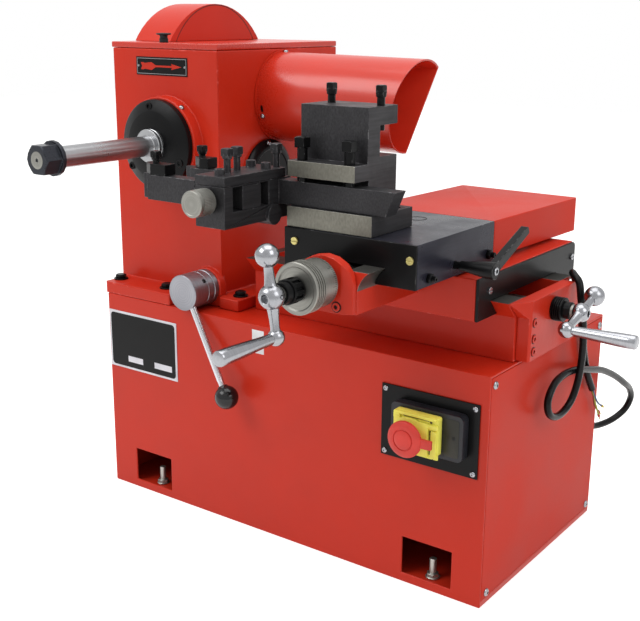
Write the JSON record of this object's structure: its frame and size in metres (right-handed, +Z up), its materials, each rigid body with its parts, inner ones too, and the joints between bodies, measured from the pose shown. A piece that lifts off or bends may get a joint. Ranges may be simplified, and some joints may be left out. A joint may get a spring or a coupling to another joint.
{
  "type": "brake lathe",
  "caption": "Bench brake drum and disc lathe: cabinet, worm-driven spindle, dovetail bed with saddle and top slide, tool post, disc tool holder, ball cranks, stop switch and cord.",
  "frame": {"origin": "bottom centre of the bounding box of the machine without its loose cord, on the surface the cabinet stands on", "axes": "+X runs along the bed to the right, +Y goes to the back of the machine, +Z is up; the spindle nose points along -Y"},
  "size_m": [0.7038, 0.684, 0.638],
  "materials": {
    "red_paint": "glossy red enamel",
    "black_paint": "satin black paint",
    "black_oxide": "blackened machined steel",
    "cast_iron": "bare cast iron",
    "ground_steel": "turned and ground steel",
    "chrome": "polished chrome plate",
    "rubber": "smooth black rubber",
    "black_plastic": "moulded black plastic",
    "yellow_plastic": "moulded yellow plastic",
    "red_plastic": "moulded red plastic",
    "bare_wire": "coloured conductors"
  },
  "bodies": {
    "base": {"cabinet": "red_paint", "side_panel": "red_paint", "anchor_1": "ground_steel", "anchor_2": "ground_steel", "anchor_3": "ground_steel", "anchor_4": "ground_steel", "headstock": "red_paint", "headstock_lid": "red_paint", "belt_guard": "red_paint", "hood": "red_paint", "side_cap": "black_paint", "front_bearing_cap": "black_oxide", "motor": "cast_iron", "drive_belt": "rubber", "bed": "red_paint", "bed_bracket": "red_paint", "switch_plate": "black_paint", "switch_box": "black_plastic", "cord_gland": "black_plastic", "cord": "rubber", "cord_bare_end": "bare_wire"},
    "spindle_line": {"spindle": "ground_steel", "worm_wheel": "cast_iron"},
    "nut": {"spindle_nut": "black_oxide"},
    "worm_line": {"worm_shaft": "ground_steel", "driven_pulley": "cast_iron"},
    "motor_rotor": {"motor_pulley": "cast_iron"},
    "drive_lever": {"lever_hub": "chrome", "lever_ball": "black_plastic"},
    "carriage": {"saddle": "red_paint", "saddle_end_plate": "black_paint", "front_bracket": "red_paint"},
    "bed_screw_line": {"x_screw": "ground_steel", "side_dial": "black_oxide", "side_crank": "chrome"},
    "side_handle": {"side_grip": "chrome"},
    "cross_slide": {"top_slide": "black_paint", "front_plate": "black_paint", "slide_cover": "red_paint", "post_base": "black_oxide", "tool_post": "black_oxide", "post_screw_1": "black_oxide", "post_screw_2": "black_oxide", "post_screw_3": "black_oxide", "post_screw_4": "black_oxide", "tool_body": "black_oxide", "tool_top_plate": "black_oxide", "front_arm": "black_oxide", "front_clamp": "black_oxide"},
    "cross_screw_line": {"y_screw": "ground_steel", "front_dial": "ground_steel", "front_jaw": "black_oxide", "front_crank": "chrome"},
    "front_handle": {"front_grip": "chrome"},
    "slide_lock": {"clamp_lever": "black_oxide"},
    "jaw_slider": {"tool_slider": "black_oxide", "rear_clamp": "black_oxide"},
    "jaw_knob": {"knob": "ground_steel"},
    "switch_lid": {"switch_flap": "yellow_plastic"},
    "stop_push": {"stop_button": "red_plastic"}
  },
  "joints": [
    {"name": "spindle_turn", "type": "hinge", "parent": "base", "child": "spindle_line", "pos_m": [-0.2564, -0.01845, 0.467], "axis": [0, 1, 0], "continuous": true},
    {"name": "nut_turn", "type": "hinge", "parent": "spindle_line", "child": "nut", "pos_m": [-0.2564, -0.17245, 0.467], "axis": [0, 1, 0], "continuous": true},
    {"name": "worm_turn", "type": "hinge", "parent": "base", "child": "worm_line", "pos_m": [-0.2564, 0.15015, 0.53], "axis": [1, 0, 0], "continuous": true},
    {"name": "motor_turn", "type": "hinge", "parent": "base", "child": "motor_rotor", "pos_m": [-0.3104, 0.15015, 0.09], "axis": [1, 0, 0], "continuous": true},
    {"name": "lever_swing", "type": "hinge", "parent": "base", "child": "drive_lever", "pos_m": [-0.1904, -0.00645, 0.292], "axis": [0, 1, 0], "range_deg": [-25, 25]},
    {"name": "saddle_slide", "type": "slide", "parent": "base", "child": "carriage", "axis": [1, 0, 0], "range_m": [-0.11, 0.018]},
    {"name": "bed_screw_turn", "type": "hinge", "parent": "base", "child": "bed_screw_line", "pos_m": [0.2756, 0.09955, 0.318], "axis": [1, 0, 0], "range_deg": [-9901, 1621]},
    {"name": "side_grip_turn", "type": "hinge", "parent": "bed_screw_line", "child": "side_handle", "pos_m": [0.3096, 0.0631, 0.30727], "axis": [1, 0, 0], "continuous": true},
    {"name": "cross_slide_move", "type": "slide", "parent": "carriage", "child": "cross_slide", "axis": [0, 1, 0], "range_m": [-0.026, 0.06]},
    {"name": "cross_screw_turn", "type": "hinge", "parent": "carriage", "child": "cross_screw_line", "pos_m": [0.1036, -0.21825, 0.3745], "axis": [0, 1, 0], "range_deg": [-2341, 5401]},
    {"name": "front_grip_turn", "type": "hinge", "parent": "cross_screw_line", "child": "front_handle", "pos_m": [0.10864, -0.25845, 0.33623], "axis": [0, 1, 0], "continuous": true},
    {"name": "slide_lock_swing", "type": "hinge", "parent": "cross_slide", "child": "slide_lock", "pos_m": [0.1996, -0.01845, 0.3795], "axis": [1, 0, 0], "range_deg": [-15, 75]},
    {"name": "jaw_slide", "type": "slide", "parent": "cross_slide", "child": "jaw_slider", "axis": [0, 1, 0], "range_m": [-0.008, 0.008]},
    {"name": "knob_turn", "type": "hinge", "parent": "cross_slide", "child": "jaw_knob", "pos_m": [-0.0094, -0.18845, 0.4463], "axis": [0, 1, 0], "range_deg": [-1921, 1921]},
    {"name": "switch_lid_lift", "type": "hinge", "parent": "base", "child": "switch_lid", "pos_m": [0.1566, -0.0336, 0.222], "axis": [1, 0, 0], "range_deg": [-100, 0]},
    {"name": "stop_push_in", "type": "slide", "parent": "switch_lid", "child": "stop_push", "axis": [0, 1, 0], "range_m": [0, 0.004], "stiffness_N_per_m": 600}
  ],
  "couplings": [
    {"joint": "spindle_turn", "follows": "worm_turn", "ratio": 0.083333},
    {"joint": "motor_turn", "follows": "worm_turn", "ratio": 2.2857},
    {"joint": "bed_screw_turn", "follows": "saddle_slide", "rad_per_m": 1570.8},
    {"joint": "cross_screw_turn", "follows": "cross_slide_move", "rad_per_m": 1570.8},
    {"joint": "knob_turn", "follows": "jaw_slide", "rad_per_m": 4188.8}
  ]
}
